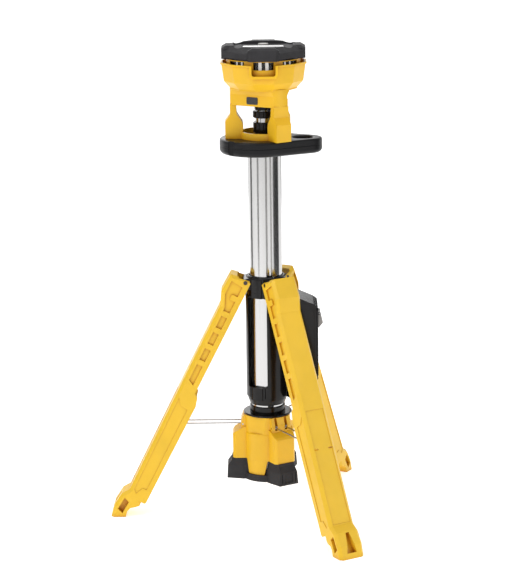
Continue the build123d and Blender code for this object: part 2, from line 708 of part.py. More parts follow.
HANDLE_SCREWS = ((-62, 34), (-62, -34), (0, 56), (0, -56), (50, 34), (50, -34))
with BuildPart() as handle_screws:
    for spot in HANDLE_SCREWS:
        with BuildSketch(Plane.XY.offset(PLATE_BOTTOM - 1.6)):
            with Locations(spot):
                Circle(SCREW_HEAD)
        extrude(amount=1.6)
        with BuildSketch(Plane.XY.offset(PLATE_BOTTOM - 1.6)):
            with Locations(spot):
                RegularPolygon(1.8, 6)
        extrude(amount=1.0, mode=Mode.SUBTRACT)
save(handle_screws, "handle_screws")

# ---------------------------------------------------------------- cage over the light head
def cup_section(radius):
    """Section of the cup: a circle with shallow flats between the legs' directions."""
    with BuildSketch(mode=Mode.PRIVATE) as section:
        RegularPolygon(radius, 12, major_radius=True, rotation=15)
    return section.sketch


def neck_section(shrink=0.0):
    """Section of the neck: a rounded triangle with a post at each corner."""
    with BuildSketch(mode=Mode.PRIVATE) as section:
        RegularPolygon(NECK_FLAT - shrink, 3, major_radius=False, rotation=60)
        Circle(POST_REACH - shrink, mode=Mode.INTERSECT)
    return section.sketch


FLARE_HEIGHT = 14.0
with BuildPart() as neck_flare:
    with BuildSketch(Plane.XY.offset(BAND_TOP - FLARE_HEIGHT)):
        add(neck_section())
    extrude(amount=FLARE_HEIGHT, taper=-25)
    with BuildSketch(Plane.XY.offset(BAND_TOP - FLARE_HEIGHT)):
        Circle(POST_REACH)
    extrude(amount=FLARE_HEIGHT, mode=Mode.INTERSECT)

with BuildPart() as cage_shell:
    # cup: floor and cone from the neck, then an upright faceted wall
    with BuildSketch(Plane.XY.offset(BAND_TOP - CUP_WALL)):
        add(cup_section(POST_REACH + 1))
    extrude(amount=CUP_WALL)
    with BuildSketch(Plane.XY.offset(BAND_TOP)):
        add(cup_section(POST_REACH + 1))
    with BuildSketch(Plane.XY.offset(CUP_SHOULDER)):
        add(cup_section(CUP_FLOOR_RADIUS + 1))
    loft()
    with BuildSketch(Plane.XY.offset(CUP_SHOULDER)):
        add(cup_section(CUP_FLOOR_RADIUS + 1))
    with BuildSketch(Plane.XY.offset(RIM_TOP)):
        add(cup_section(RIM_RADIUS + 2))
    loft()
    # rolled rim
    with BuildSketch(Plane.XY.offset(RIM_TOP - 4)):
        add(cup_section(RIM_RADIUS + 3.8))
    extrude(amount=4)
    fillet(cage_shell.faces().sort_by(Axis.Z)[-1].outer_wire().edges(), 1.8)
    # neck band
    with BuildSketch(Plane.XY.offset(BAND_BOTTOM)):
        add(neck_section())
    extrude(amount=BAND_TOP - BAND_BOTTOM)
    add(neck_flare.part)
    # posts, flared near their feet
    for angle in LEG_ANGLES:
        with BuildSketch(edge_on(angle)):
            with BuildLine():
                Polyline((44, CAGE_BASE_TOP), (48, CAGE_BASE_TOP + 22), (60, BAND_BOTTOM - 20),
                         (62, BAND_BOTTOM + 2), (POST_REACH, BAND_BOTTOM + 2),
                         (POST_REACH, 837), (POST_FLARE_REACH, 822),
                         (POST_FLARE_REACH, PLATE_TOP), (44, PLATE_TOP), close=True)
            make_face()
        extrude(amount=POST_HALF_WIDTH, both=True)
    with BuildSketch(Plane.XY.offset(PLATE_TOP)):
        Circle(CAGE_RING_RADIUS)
    extrude(amount=CAGE_BASE_TOP - PLATE_TOP)
    # room inside for the poles, the collars and the light head
    with BuildSketch(Plane.XY.offset(PLATE_TOP)):
        Circle(CAGE_RING_RADIUS - 4)
    extrude(amount=BAND_BOTTOM - PLATE_TOP + 4, mode=Mode.SUBTRACT)
    with BuildSketch(Plane.XY.offset(BAND_BOTTOM)):
        add(neck_section(CUP_WALL))
    extrude(amount=BAND_TOP - BAND_BOTTOM - CUP_WALL, mode=Mode.SUBTRACT)
    with BuildSketch(Plane.XY.offset(BAND_BOTTOM)):
        Circle(NECK_FLAT - CUP_WALL)
    extrude(amount=60, mode=Mode.SUBTRACT)
    with BuildSketch(Plane.XY.offset(BAND_TOP)):
        add(cup_section(POST_REACH - CUP_WALL + 1))
    with BuildSketch(Plane.XY.offset(CUP_SHOULDER)):
        add(cup_section(CUP_FLOOR_RADIUS - CUP_WALL + 1))
    loft(mode=Mode.SUBTRACT)
    with BuildSketch(Plane.XY.offset(CUP_SHOULDER)):
        add(cup_section(CUP_FLOOR_RADIUS - CUP_WALL + 1))
    with BuildSketch(Plane.XY.offset(RIM_TOP + 0.01)):
        add(cup_section(RIM_RADIUS - CUP_WALL + 2))
    loft(mode=Mode.SUBTRACT)
    # notches in the rim, front and back, with a rounded frame round each
    for angle in (90, 270):
        with BuildSketch(facing(angle, RIM_RADIUS - 7, RIM_TOP)):
            RectangleRounded(NOTCH_WIDTH + 11, 2 * (RIM_TOP - NOTCH_BOTTOM) + 11, 9)
        extrude(amount=9)
        with BuildSketch(facing(angle, RIM_RADIUS - 14, RIM_TOP)):
            RectangleRounded(NOTCH_WIDTH, 2 * (RIM_TOP - NOTCH_BOTTOM), 5)
        extrude(amount=24, mode=Mode.SUBTRACT)
        with BuildSketch(facing(angle, RIM_RADIUS - 14, RIM_TOP + 20)):
            Rectangle(NOTCH_WIDTH + 30, 40)
        extrude(amount=30, mode=Mode.SUBTRACT)
save(cage_shell, "cage_shell")

with BuildPart() as cage_screws:
    with BuildSketch(Plane.XY.offset(CAGE_BASE_TOP - 2)):
        with PolarLocations(CAGE_RING_RADIUS + 15, 3, start_angle=60):
            Circle(SCREW_RADIUS)
    extrude(amount=-40)
save(cage_screws, "cage_screws")

BADGE_ANGLE = 240
with BuildPart() as badge_plate:
    with BuildSketch(facing(BADGE_ANGLE, NECK_FLAT, (BAND_BOTTOM + BAND_TOP - FLARE_HEIGHT) / 2)):
        RectangleRounded(28, 16, 3)
    extrude(amount=0.8)
save(badge_plate, "badge_plate")


# ---------------------------------------------------------------- poles and their twist collars
def tube(radius, wall, bottom, top):
    """Plain round tube."""
    with BuildPart() as pole:
        with BuildSketch(Plane.XY.offset(bottom)):
            Circle(radius)
            Circle(radius - wall, mode=Mode.SUBTRACT)
        extrude(amount=top - bottom)
    return pole


def twist_collar(outer, bore, lip, bottom, top):
    """Fluted collar that turns on a collet, with an inward lip at its top."""
    with BuildPart() as collar:
        with BuildSketch(Plane.XY.offset(bottom)):
            Circle(outer)
        extrude(amount=top - bottom)
        chamfer(collar.edges().filter_by(GeomType.CIRCLE), 1.2)
        with BuildSketch(Plane.XY.offset(bottom)):
            Circle(bore)
        extrude(amount=top - bottom - 3, mode=Mode.SUBTRACT)
        with BuildSketch(Plane.XY.offset(bottom)):
            Circle(lip)
        extrude(amount=top - bottom, mode=Mode.SUBTRACT)
        with BuildSketch(Plane.XY.offset(bottom + 2.5)):
            with PolarLocations(outer + 1.2, 12):
                Circle(2.4)
        extrude(amount=top - bottom - 5, mode=Mode.SUBTRACT)
    return collar


save(twist_collar(24.5, MIDDLE_RADIUS + 2.0, MIDDLE_RADIUS + 0.5, 796, 819), "lower_twist_collar")
save(tube(MIDDLE_RADIUS, MIDDLE_WALL, MIDDLE_BOTTOM, MIDDLE_TOP), "middle_pole")
save(twist_collar(25, MIDDLE_RADIUS + 0.4, TOP_RADIUS + 0.5, 829, 844), "upper_twist_collar")
save(tube(TOP_RADIUS, TOP_WALL, TOP_BOTTOM, TOP_TOP), "top_pole")

FOOT_HEIGHT = 40.0
with BuildPart() as middle_pole_foot:
    with BuildSketch(Plane.XY.offset(MIDDLE_BOTTOM - 6)):
        add(mast_outline(-MAST_WALL - GAP))
    extrude(amount=FOOT_HEIGHT + 6)
    with BuildSketch(Plane.XY.offset(MIDDLE_BOTTOM)):
        Circle(MIDDLE_RADIUS)
    extrude(amount=FOOT_HEIGHT, mode=Mode.SUBTRACT)
    with BuildSketch(Plane.XY.offset(MIDDLE_BOTTOM - 6)):
        Circle(12)
    extrude(amount=6, mode=Mode.SUBTRACT)
save(middle_pole_foot, "middle_pole_foot")

with BuildPart() as middle_pole_bush:
    with BuildSketch(Plane.XY.offset(MIDDLE_TOP - 38)):
        Circle(MIDDLE_RADIUS - MIDDLE_WALL)
    extrude(amount=38)
    with BuildSketch(Plane.XY.offset(MIDDLE_TOP)):
        Circle(MIDDLE_RADIUS)
    extrude(amount=2.4)
    with BuildSketch(Plane.XY.offset(MIDDLE_TOP - 38)):
        Circle(TOP_RADIUS + RUN_FIT)
    extrude(amount=60, mode=Mode.SUBTRACT)
save(middle_pole_bush, "middle_pole_bush")

with BuildPart() as top_pole_foot:
    with BuildSketch(Plane.XY.offset(TOP_BOTTOM - 5)):
        Circle(MIDDLE_RADIUS - MIDDLE_WALL - GAP)
    extrude(amount=5)
    with BuildSketch(Plane.XY.offset(TOP_BOTTOM)):
        Circle(TOP_RADIUS - TOP_WALL)
    extrude(amount=25)
    with BuildSketch(Plane.XY.offset(TOP_BOTTOM - 5)):
        Circle(9)
    extrude(amount=30, mode=Mode.SUBTRACT)
save(top_pole_foot, "top_pole_foot")

HEAD_SOCKET_BOTTOM = 846.0
with BuildPart() as head_socket:
    with BuildSketch(Plane.XY.offset(HEAD_SOCKET_BOTTOM)):
        Circle(21)
    extrude(amount=14)
    with BuildSketch(Plane.XY.offset(HEAD_SOCKET_BOTTOM + 14)):
        Circle(19.5)
    extrude(amount=DRUM_BOTTOM - HEAD_SOCKET_BOTTOM - 14 - GAP)
    chamfer(head_socket.faces().sort_by(Axis.Z)[0].edges(), 1.5)
    with BuildSketch(Plane.XY.offset(HEAD_SOCKET_BOTTOM)):
        Circle(TOP_RADIUS)
    extrude(amount=TOP_TOP - HEAD_SOCKET_BOTTOM, mode=Mode.SUBTRACT)
    # spigot that the light head turns on
    with BuildSketch(Plane.XY.offset(DRUM_BOTTOM - GAP)):
        Circle(12)
    extrude(amount=20)
save(head_socket, "head_socket")

# ---------------------------------------------------------------- light head
with BuildPart() as head_drum:
    with BuildSketch(edge_on(0)):
        with BuildLine():
            Polyline((12 + RUN_FIT, DRUM_BOTTOM), (62, DRUM_BOTTOM), (76, DRUM_BOTTOM + 10),
                     (DRUM_RADIUS, DRUM_BOTTOM + 24), (DRUM_RADIUS, DRUM_TOP),
                     (DRUM_RADIUS - DRUM_WALL, DRUM_TOP), (DRUM_RADIUS - DRUM_WALL, DRUM_BOTTOM + 26),
                     (74, DRUM_BOTTOM + 13), (60, DRUM_BOTTOM + 4), (22, DRUM_BOTTOM + 4),
                     (22, DRUM_BOTTOM + 16), (12 + RUN_FIT, DRUM_BOTTOM + 16), close=True)
        make_face()
    revolve(axis=Axis.Z)
    for count in range(LAMP_WINDOWS):
        with BuildSketch(facing(count * 360 / LAMP_WINDOWS, 60,
                                (LAMP_WINDOW_BOTTOM + DRUM_TOP - 2) / 2)):
            Rectangle(LAMP_WINDOW_WIDTH, DRUM_TOP - 2 - LAMP_WINDOW_BOTTOM)
        extrude(amount=40, mode=Mode.SUBTRACT)
save(head_drum, "head_drum")

SINK_RADIUS = 66.0
FIN_REACH = 76.0
FIN_WIDTH = 5.0
STRIP_WIDTH = 7.0
SINK_BOTTOM = 932.0
SINK_TOP = 960.0
STRIP_OFFSET = 7.5
with BuildPart() as heat_sink:
    with BuildSketch(Plane.XY.offset(SINK_BOTTOM)):
        Circle(SINK_RADIUS)
        Circle(SINK_RADIUS - 6, mode=Mode.SUBTRACT)
    extrude(amount=SINK_TOP - SINK_BOTTOM)
    with BuildSketch(Plane.XY.offset(SINK_TOP - 4)):
        Circle(SINK_RADIUS)
    extrude(amount=4)
    for count in range(LAMP_WINDOWS):
        for aside in (-2 * STRIP_OFFSET, 0, 2 * STRIP_OFFSET):
            with BuildSketch(facing(count * 360 / LAMP_WINDOWS, SINK_RADIUS - 4,
                                    (SINK_BOTTOM + SINK_TOP) / 2)):
                with Locations((aside, 0)):
                    Rectangle(FIN_WIDTH, SINK_TOP - SINK_BOTTOM)
            extrude(amount=FIN_REACH - SINK_RADIUS + 4)
save(heat_sink, "heat_sink")

with BuildPart() as led_strips:
    for count in range(LAMP_WINDOWS):
        with BuildSketch(facing(count * 360 / LAMP_WINDOWS, SINK_RADIUS,
                                (SINK_BOTTOM + SINK_TOP) / 2)):
            with Locations((-STRIP_OFFSET, 0), (STRIP_OFFSET, 0)):
                Rectangle(STRIP_WIDTH, SINK_TOP - SINK_BOTTOM - 2)
        extrude(amount=6)
save(led_strips, "led_strips")

with BuildPart() as clear_lens:
    with BuildSketch(Plane.XY.offset(DRUM_BOTTOM + 27)):
        Circle(DRUM_RADIUS - DRUM_WALL - 0.2)
        Circle(DRUM_RADIUS - DRUM_WALL - 2.2, mode=Mode.SUBTRACT)
    extrude(amount=DRUM_TOP - DRUM_BOTTOM - 27)
save(clear_lens, "clear_lens")

with BuildPart() as driver_board:
    with BuildSketch(Plane.XY.offset(DRUM_BOTTOM + 20)):
        Circle(54)
    extrude(amount=1.6)
    with BuildSketch(Plane.XY.offset(DRUM_BOTTOM + 21.6)):
        with Locations((20, 0), (-10, 22), (-14, -20)):
            RectangleRounded(18, 12, 1.5)
    extrude(amount=6)
save(driver_board, "driver_board")

# frame under the rubber cap, and the cap itself
FRAME_RADIUS = 83.5
with BuildPart() as cap_frame:
    with BuildSketch(Plane.XY.offset(CAP_BOTTOM)):
        Circle(FRAME_RADIUS)
    extrude(amount=9)
    with BuildSketch(Plane.XY.offset(CAP_BOTTOM + 9)):
        Circle(70)
    extrude(amount=9)
    with BuildSketch(Plane.XY.offset(CAP_BOTTOM + 3)):
        Circle(66)
    extrude(amount=6, mode=Mode.SUBTRACT)
save(cap_frame, "cap_frame")


def octagon(flat):
    """Octagon with a flat face in each direction of a lamp window."""
    with BuildSketch(mode=Mode.PRIVATE) as section:
        RegularPolygon(flat, 8, major_radius=False, rotation=22.5)
    return section.sketch


CAP_SIDE_TOP = 979.0
PAD_TOP = 986.0
with BuildPart() as rubber_cap:
    with BuildSketch(Plane.XY.offset(CAP_BOTTOM + 3)):
        add(octagon(CAP_FLAT))
    extrude(amount=CAP_SIDE_TOP - CAP_BOTTOM - 3)
    with BuildSketch(Plane.XY.offset(CAP_SIDE_TOP)):
        add(octagon(CAP_FLAT))
    with BuildSketch(Plane.XY.offset(CAP_TOP)):
        add(octagon(CAP_FLAT - 18))
    loft()
    # taller bumpers on four of the eight sides
    for angle in (0, 90, 180, 270):
        for height, thickness, narrowing in ((CAP_BOTTOM, PAD_TOP - CAP_BOTTOM - 1, 0),
                                             (PAD_TOP - 1, CAP_TOP - PAD_TOP + 1, 58)):
            with BuildSketch(Plane.XY.offset(height)):
                with Locations(Location((0, 0, 0), (0, 0, angle))):
                    Polygon((50, -34), (BUMPER_REACH - 6, -34), (BUMPER_REACH, -27),
                            (BUMPER_REACH, 27), (BUMPER_REACH - 6, 34), (50, 34), align=None)
            extrude(amount=thickness, taper=narrowing)
    # sunk top that shows the frame, the light bar and the power button
    with BuildSketch(Plane.XY.offset(CAP_TOP - 6)):
        RectangleRounded(130, 108, 24)
    extrude(amount=6, mode=Mode.SUBTRACT)
    with BuildSketch(Plane.XY.offset(CAP_BOTTOM)):
        Circle(FRAME_RADIUS + 0.2)
    extrude(amount=9.2, mode=Mode.SUBTRACT)
    with BuildSketch(Plane.XY.offset(CAP_BOTTOM)):
        Circle(70.2)
    extrude(amount=19, mode=Mode.SUBTRACT)
    with BuildSketch(Plane.XY.offset(CAP_BOTTOM + 17)):
        with Locations((0, 0)):
            RectangleRounded(91, 25, 6)
        with Locations((0, 34)):
            Circle(12)
    extrude(amount=20, mode=Mode.SUBTRACT)
save(rubber_cap, "rubber_cap")

with BuildPart() as light_bar:
    with BuildSketch(Plane.XY.offset(CAP_BOTTOM + 18)):
        RectangleRounded(90, 24, 5.5)
    extrude(amount=5.5)
    chamfer(light_bar.faces().sort_by(Axis.Z)[-1].edges(), 1)
save(light_bar, "light_bar")

with BuildPart() as power_button:
    with BuildSketch(Plane.XY.offset(CAP_BOTTOM + 21)):
        with Locations((0, 34)):
            Circle(11.4)
    extrude(amount=4.5)
    fillet(power_button.faces().sort_by(Axis.Z)[-1].edges(), 1.2)
save(power_button, "power_button")

with BuildPart() as head_screws:
    with BuildSketch(Plane.XY.offset(DRUM_BOTTOM + 4)):
        with PolarLocations(40, 4, start_angle=45):
            Circle(SCREW_HEAD)
    extrude(amount=2.4)
save(head_screws, "head_screws")

# ---------------------------------------------------------------- battery box
with BuildPart() as battery_box:
    with BuildSketch(edge_on(0)):
        with BuildLine():
            Polyline((40, 436), (50, 436), (106, 411.5), (BOX_OUTER + 4, 404), (BOX_OUTER + 4, 236),
                     (54, 187), (40, 190), close=True)
        make_face()
    extrude(amount=BOX_HALF_WIDTH, both=True)
    shoulder = battery_box.edges().filter_by(Axis.Y).filter_by(
        lambda edge: edge.center().X > 100 and edge.center().Z > 400)
    fillet(shoulder, 6)
    with BuildSketch(Plane.XY.offset(150)):
        with BuildLine():
            Polyline((40, -12.5), (44, -12.5), (50, -20), (56, -29), (66, -44), (130, -44),
                     (130, 44), (66, 44), (56, 29), (50, 20), (44, 12.5), (40, 12.5), close=True)
        make_face()
    extrude(amount=320, mode=Mode.INTERSECT)
    # bay for the battery pack, open toward the door
    with BuildSketch(Plane.XY.offset(BAY_BOTTOM)):
        with Locations((70 + 30, 0)):
            Rectangle(60, 2 * BAY_HALF_WIDTH)
        with Locations((64, 0)):
            Rectangle(12.1, 48)
    extrude(amount=BAY_TOP - BAY_BOTTOM, mode=Mode.SUBTRACT)
    # a shallow sunk panel on each side
    for side in (-1, 1):
        with BuildSketch(edge_on(0, side * (BOX_HALF_WIDTH - 1.5))):
            with BuildLine():
                Polyline((71, 207), (107, 235), (107, 400), (103, 406), (71, 420), close=True)
            make_face()
        extrude(amount=-side * 4, mode=Mode.SUBTRACT)
    # the door sits flush in the outer face
    with BuildSketch(facing(0, BOX_OUTER, (DOOR_BOTTOM + DOOR_TOP) / 2)):
        Rectangle(120, DOOR_TOP - DOOR_BOTTOM + 2)
    extrude(amount=30, mode=Mode.SUBTRACT)
    with BuildSketch(facing(0, BOX_OUTER - 6, DOOR_BOTTOM - 4.5)):
        Rectangle(120, 17)
    extrude(amount=30, mode=Mode.SUBTRACT)
    with BuildSketch(Plane.XY.offset(150)):
        Circle(HOUSING_RADIUS)
    extrude(amount=320, mode=Mode.SUBTRACT)
save(battery_box, "battery_box")

HINGE_X = BOX_OUTER - 0.5
HINGE_Z = DOOR_BOTTOM - 1.5
with BuildPart() as box_hinge_lugs:
    for aside in (-36, 0, 36):
        with BuildSketch(edge_on(0, aside)):
            with Locations((HINGE_X, HINGE_Z)):
                Circle(4)
            with BuildLine():
                Polyline((BOX_OUTER - 6, HINGE_Z - 4), (HINGE_X, HINGE_Z - 4), (HINGE_X, HINGE_Z),
                         (BOX_OUTER - 6, HINGE_Z + 2), close=True)
            make_face()
        extrude(amount=4, both=True)
    with BuildSketch(edge_on(0)):
        with Locations((HINGE_X, HINGE_Z)):
            Circle(DOOR_PIN_RADIUS)
    extrude(amount=60, both=True, mode=Mode.SUBTRACT)
save(box_hinge_lugs, "door_hinge_lugs")

with BuildPart() as door_hinge_pin:
    with BuildSketch(edge_on(0)):
        with Locations((HINGE_X, HINGE_Z)):
            Circle(DOOR_PIN_RADIUS)
    extrude(amount=40, both=True)
save(door_hinge_pin, "door_hinge_pin")

LATCH_X = BOX_OUTER + DOOR_THICKNESS + 3.2
LATCH_Z = 384.0
with BuildPart() as battery_door:
    with BuildSketch(facing(0, BOX_OUTER + GAP, (DOOR_BOTTOM + 4 + DOOR_TOP) / 2)):
        RectangleRounded(2 * BOX_HALF_WIDTH - 4, DOOR_TOP - DOOR_BOTTOM - 4, 5)
    extrude(amount=DOOR_THICKNESS - GAP)
    chamfer(battery_door.faces().sort_by(Axis.X)[-1].edges(), 1)
    # knuckles between the lugs of the box
    for aside in (-18, 18):
        with BuildSketch(edge_on(0, aside)):
            with Locations((HINGE_X, HINGE_Z)):
                Circle(3.6)
            with BuildLine():
                Polyline((HINGE_X, HINGE_Z - 3.6), (BOX_OUTER + DOOR_THICKNESS - 1, HINGE_Z + 3),
                         (BOX_OUTER + DOOR_THICKNESS - 1, HINGE_Z + 12),
                         (BOX_OUTER + GAP, HINGE_Z + 12), (BOX_OUTER + GAP, HINGE_Z + 3.5),
                         (HINGE_X, HINGE_Z + 3.6), close=True)
            make_face()
        extrude(amount=13.5, both=True)
    with BuildSketch(edge_on(0)):
        with Locations((HINGE_X, HINGE_Z)):
            Circle(DOOR_PIN_RADIUS + RUN_FIT)
    extrude(amount=60, both=True, mode=Mode.SUBTRACT)
    # ears that hold the latch
    for aside in (-17.5, 17.5):
        with BuildSketch(edge_on(0, aside)):
            with Locations((LATCH_X, LATCH_Z)):
                Circle(3)
            with Locations(((LATCH_X + BOX_OUTER + 3) / 2, LATCH_Z)):
                Rectangle(LATCH_X - BOX_OUTER - 3, 6)
        extrude(amount=1.5, both=True)
    with BuildSketch(edge_on(0)):
        with Locations((LATCH_X, LATCH_Z)):
            Circle(1.2)
    extrude(amount=30, both=True, mode=Mode.SUBTRACT)
save(battery_door, "battery_door")

with BuildPart() as latch_pin:
    with BuildSketch(edge_on(0)):
        with Locations((LATCH_X, LATCH_Z)):
            Circle(1.2)
    extrude(amount=19, both=True)
save(latch_pin, "latch_pin")

with BuildPart() as door_latch:
    with BuildSketch(edge_on(0)):
        with BuildLine():
            Polyline((LATCH_X - 2.2, LATCH_Z + 1.8), (LATCH_X + 1.5, LATCH_Z + 2.6),
                     (LATCH_X + 8, LATCH_Z - 22), (LATCH_X + 5, LATCH_Z - 26),
                     (LATCH_X - 1, LATCH_Z - 33), (LATCH_X - 2.6, LATCH_Z - 33), close=True)
        make_face()
    extrude(amount=15.5, both=True)
    with BuildSketch(edge_on(0)):
        with Locations((LATCH_X, LATCH_Z)):
            Circle(1.2 + RUN_FIT)
    extrude(amount=30, both=True, mode=Mode.SUBTRACT)
save(door_latch, "door_latch")

with BuildPart() as door_seal:
    with BuildSketch(facing(0, BOX_OUTER - 2, (BAY_BOTTOM + BAY_TOP) / 2)):
        Rectangle(2 * BAY_HALF_WIDTH - 0.2, BAY_TOP - BAY_BOTTOM - 0.2)
        Rectangle(2 * BAY_HALF_WIDTH - 4, BAY_TOP - BAY_BOTTOM - 4, mode=Mode.SUBTRACT)
    extrude(amount=2)
save(door_seal, "door_seal")

TERMINAL_X = 58.0
with BuildPart() as terminal_block:
    with BuildSketch(facing(0, TERMINAL_X, 300)):
        RectangleRounded(44, 70, 2)
    extrude(amount=1.6)
    with BuildSketch(facing(0, TERMINAL_X + 1.6, 300)):
        Rectangle(16, 50)
    extrude(amount=2)
save(terminal_block, "terminal_block")

with BuildPart() as terminal_blades:
    for aside in (-5, 0, 5):
        with BuildSketch(edge_on(0, aside)):
            with Locations((TERMINAL_X + 5.6, 300)):
                Rectangle(4, 34)
        extrude(amount=0.5, both=True)
save(terminal_blades, "terminal_blades")

PACK_BOTTOM = 250.0
PACK_TOP = 366.0
with BuildPart() as battery_pack:
    with BuildSketch(Plane.XY.offset(PACK_BOTTOM)):
        with Locations((90, 0)):
            RectangleRounded(38, 75, 4)
    extrude(amount=PACK_TOP - PACK_BOTTOM)
    with BuildSketch(Plane.XY.offset(PACK_BOTTOM + 8)):
        with Locations((67, 0)):
            Rectangle(10, 44)
    extrude(amount=PACK_TOP - PACK_BOTTOM - 16)
    with BuildSketch(Plane.XY.offset(PACK_BOTTOM)):
        with Locations((65, 0)):
            Rectangle(9, 24)
    extrude(amount=PACK_TOP - PACK_BOTTOM, mode=Mode.SUBTRACT)
    # well for the release button
    with BuildSketch(facing(0, 105, PACK_TOP - 12)):
        RectangleRounded(24.6, 12.6, 2.3)
    extrude(amount=8, mode=Mode.SUBTRACT)
save(battery_pack, "battery_pack")

with BuildPart() as pack_release_button:
    with BuildSketch(facing(0, 108, PACK_TOP - 12)):
        RectangleRounded(24, 12, 2)
    extrude(amount=2.6)
save(pack_release_button, "pack_release_button")
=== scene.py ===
import json
from math import atan2, cos, pi, radians, sin

import bmesh
import bpy
from mathutils import Matrix, Vector


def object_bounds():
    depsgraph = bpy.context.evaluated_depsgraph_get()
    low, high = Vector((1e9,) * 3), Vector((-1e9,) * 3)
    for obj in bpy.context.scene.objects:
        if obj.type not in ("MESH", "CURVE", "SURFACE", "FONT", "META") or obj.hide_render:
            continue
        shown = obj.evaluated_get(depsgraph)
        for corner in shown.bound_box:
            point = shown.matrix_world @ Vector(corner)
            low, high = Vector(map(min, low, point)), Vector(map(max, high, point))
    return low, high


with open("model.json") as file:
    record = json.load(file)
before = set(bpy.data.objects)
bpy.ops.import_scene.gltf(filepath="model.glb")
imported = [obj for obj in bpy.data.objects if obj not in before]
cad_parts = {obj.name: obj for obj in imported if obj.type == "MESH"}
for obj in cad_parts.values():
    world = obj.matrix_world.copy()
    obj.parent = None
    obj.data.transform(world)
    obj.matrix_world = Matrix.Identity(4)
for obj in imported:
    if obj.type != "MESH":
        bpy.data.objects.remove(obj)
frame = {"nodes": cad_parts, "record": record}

CAD_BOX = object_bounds()


# ---------------------------------------------------------------- materials
# depths of surface relief, in metres
GRAIN_DEPTH = 0.00006
LEATHER_DEPTH = 0.00012
STREAK_DEPTH = 0.00003
# radii over which edges are softened, in metres
PLASTIC_EDGE = 0.0009
RUBBER_EDGE = 0.0014
METAL_EDGE = 0.0005
# reach of the painted shade in corners and recesses, in metres
PAINTED_SHADE_REACH = 0.014


class Nodes:
    """Small helper that adds and links the shader nodes of one material."""

    def __init__(self, name):
        self.material = bpy.data.materials.new(name)
        self.material.use_nodes = True
        self.tree = self.material.node_tree
        self.shader = self.tree.nodes["Principled BSDF"]
        self.position = self.add("ShaderNodeTexCoord").outputs["Object"]

    def add(self, kind, **values):
        """A node with its properties set by name."""
        node = self.tree.nodes.new(kind)
        for key, value in values.items():
            setattr(node, key, value)
        return node

    def link(self, out, into):
        self.tree.links.new(out, into)

    def stretched(self, scale):
        """Object position with each axis scaled, for grain that runs one way."""
        mapping = self.add("ShaderNodeMapping")
        mapping.inputs["Scale"].default_value = scale
        self.link(self.position, mapping.inputs["Vector"])
        return mapping.outputs["Vector"]

    def noise(self, scale, detail=3.0, roughness=0.5, vector=None):
        """Height of a noise pattern over the object."""
        node = self.add("ShaderNodeTexNoise")
        node.inputs["Scale"].default_value = scale
        node.inputs["Detail"].default_value = detail
        node.inputs["Roughness"].default_value = roughness
        self.link(vector or self.position, node.inputs["Vector"])
        return node.outputs["Fac"]

    def ramp(self, factor, stops):
        """Colours along a factor."""
        node = self.add("ShaderNodeValToRGB")
        elements = node.color_ramp.elements
        while len(elements) < len(stops):
            elements.new(0.5)
        for element, (place, colour) in zip(elements, stops):
            element.position = place
            element.color = (*colour, 1.0)
        self.link(factor, node.inputs["Fac"])
        return node.outputs["Color"]

    def spread(self, factor, low, high):
        """A factor of about 0.3 to 0.7 turned into a range of values."""
        node = self.add("ShaderNodeMapRange")
        node.inputs["From Min"].default_value = 0.3
        node.inputs["From Max"].default_value = 0.7
        node.inputs["To Min"].default_value = low
        node.inputs["To Max"].default_value = high
        self.link(factor, node.inputs["Value"])
        return node.outputs["Result"]

    def rounded(self, radius):
        """Normal that softens sharp edges over a small radius in metres."""
        node = self.add("ShaderNodeBevel", samples=6)
        node.inputs["Radius"].default_value = radius
        return node.outputs["Normal"]

    def painted_hollow_shade(self, colour, reach, hollow_shade):
        """Colour with painted shade: darkened in corners and recesses, where shade falls, found by
        occlusion within a reach in metres.
        """
        corners = self.add("ShaderNodeAmbientOcclusion", samples=6)
        corners.inputs["Distance"].default_value = reach
        # painted shade: the occlusion factor pulls the colour towards the hollow shade tint
        depth = self.ramp(corners.outputs["AO"], [(0.35, hollow_shade), (0.9, (1, 1, 1))])
        mix = self.add("ShaderNodeMix", data_type="RGBA", blend_type="MULTIPLY")
        # the node lists its number and vector sockets before its two colours
        share, first, second = mix.inputs[0], mix.inputs[6], mix.inputs[7]
        share.default_value = 1.0
        self.link(colour, first)
        self.link(depth, second)
        return mix.outputs[2]

    def bump(self, height, strength, distance, under=None):
        """Surface relief from a height, in metres of depth."""
        node = self.add("ShaderNodeBump")
        node.inputs["Strength"].default_value = strength
        node.inputs["Distance"].default_value = distance
        self.link(height, node.inputs["Height"])
        if under:
            self.link(under, node.inputs["Normal"])
        return node.outputs["Normal"]


def plastic(name, colour, rough, vary=0.05, grain=2600.0, relief=0.25, coat=0.0, specular=0.5,
            hollow_shade=(0.6, 0.6, 0.6)):
    """Moulded plastic: faint colour drift, painted shade in corners and recesses, a fine spark-eroded
    grain and uneven gloss.
    """
    n = Nodes(name)
    darker = tuple(c * (1 - vary) for c in colour)
    lighter = tuple(min(1, c * (1 + vary)) for c in colour)
    drift = n.ramp(n.noise(14, 4), [(0.3, darker), (0.7, lighter)])
    # painted shade: the colour darkens in corners and recesses
    n.link(n.painted_hollow_shade(drift, PAINTED_SHADE_REACH, hollow_shade), n.shader.inputs["Base Color"])
    n.link(n.spread(n.noise(38, 5), rough * 0.88, rough * 1.12), n.shader.inputs["Roughness"])
    fine = n.bump(n.noise(grain, 2), relief, GRAIN_DEPTH, under=n.rounded(PLASTIC_EDGE))
    n.link(fine, n.shader.inputs["Normal"])
    n.shader.inputs["Coat Weight"].default_value = coat
    n.shader.inputs["Coat Roughness"].default_value = 0.08
    n.shader.inputs["Specular IOR Level"].default_value = specular
    return n.material


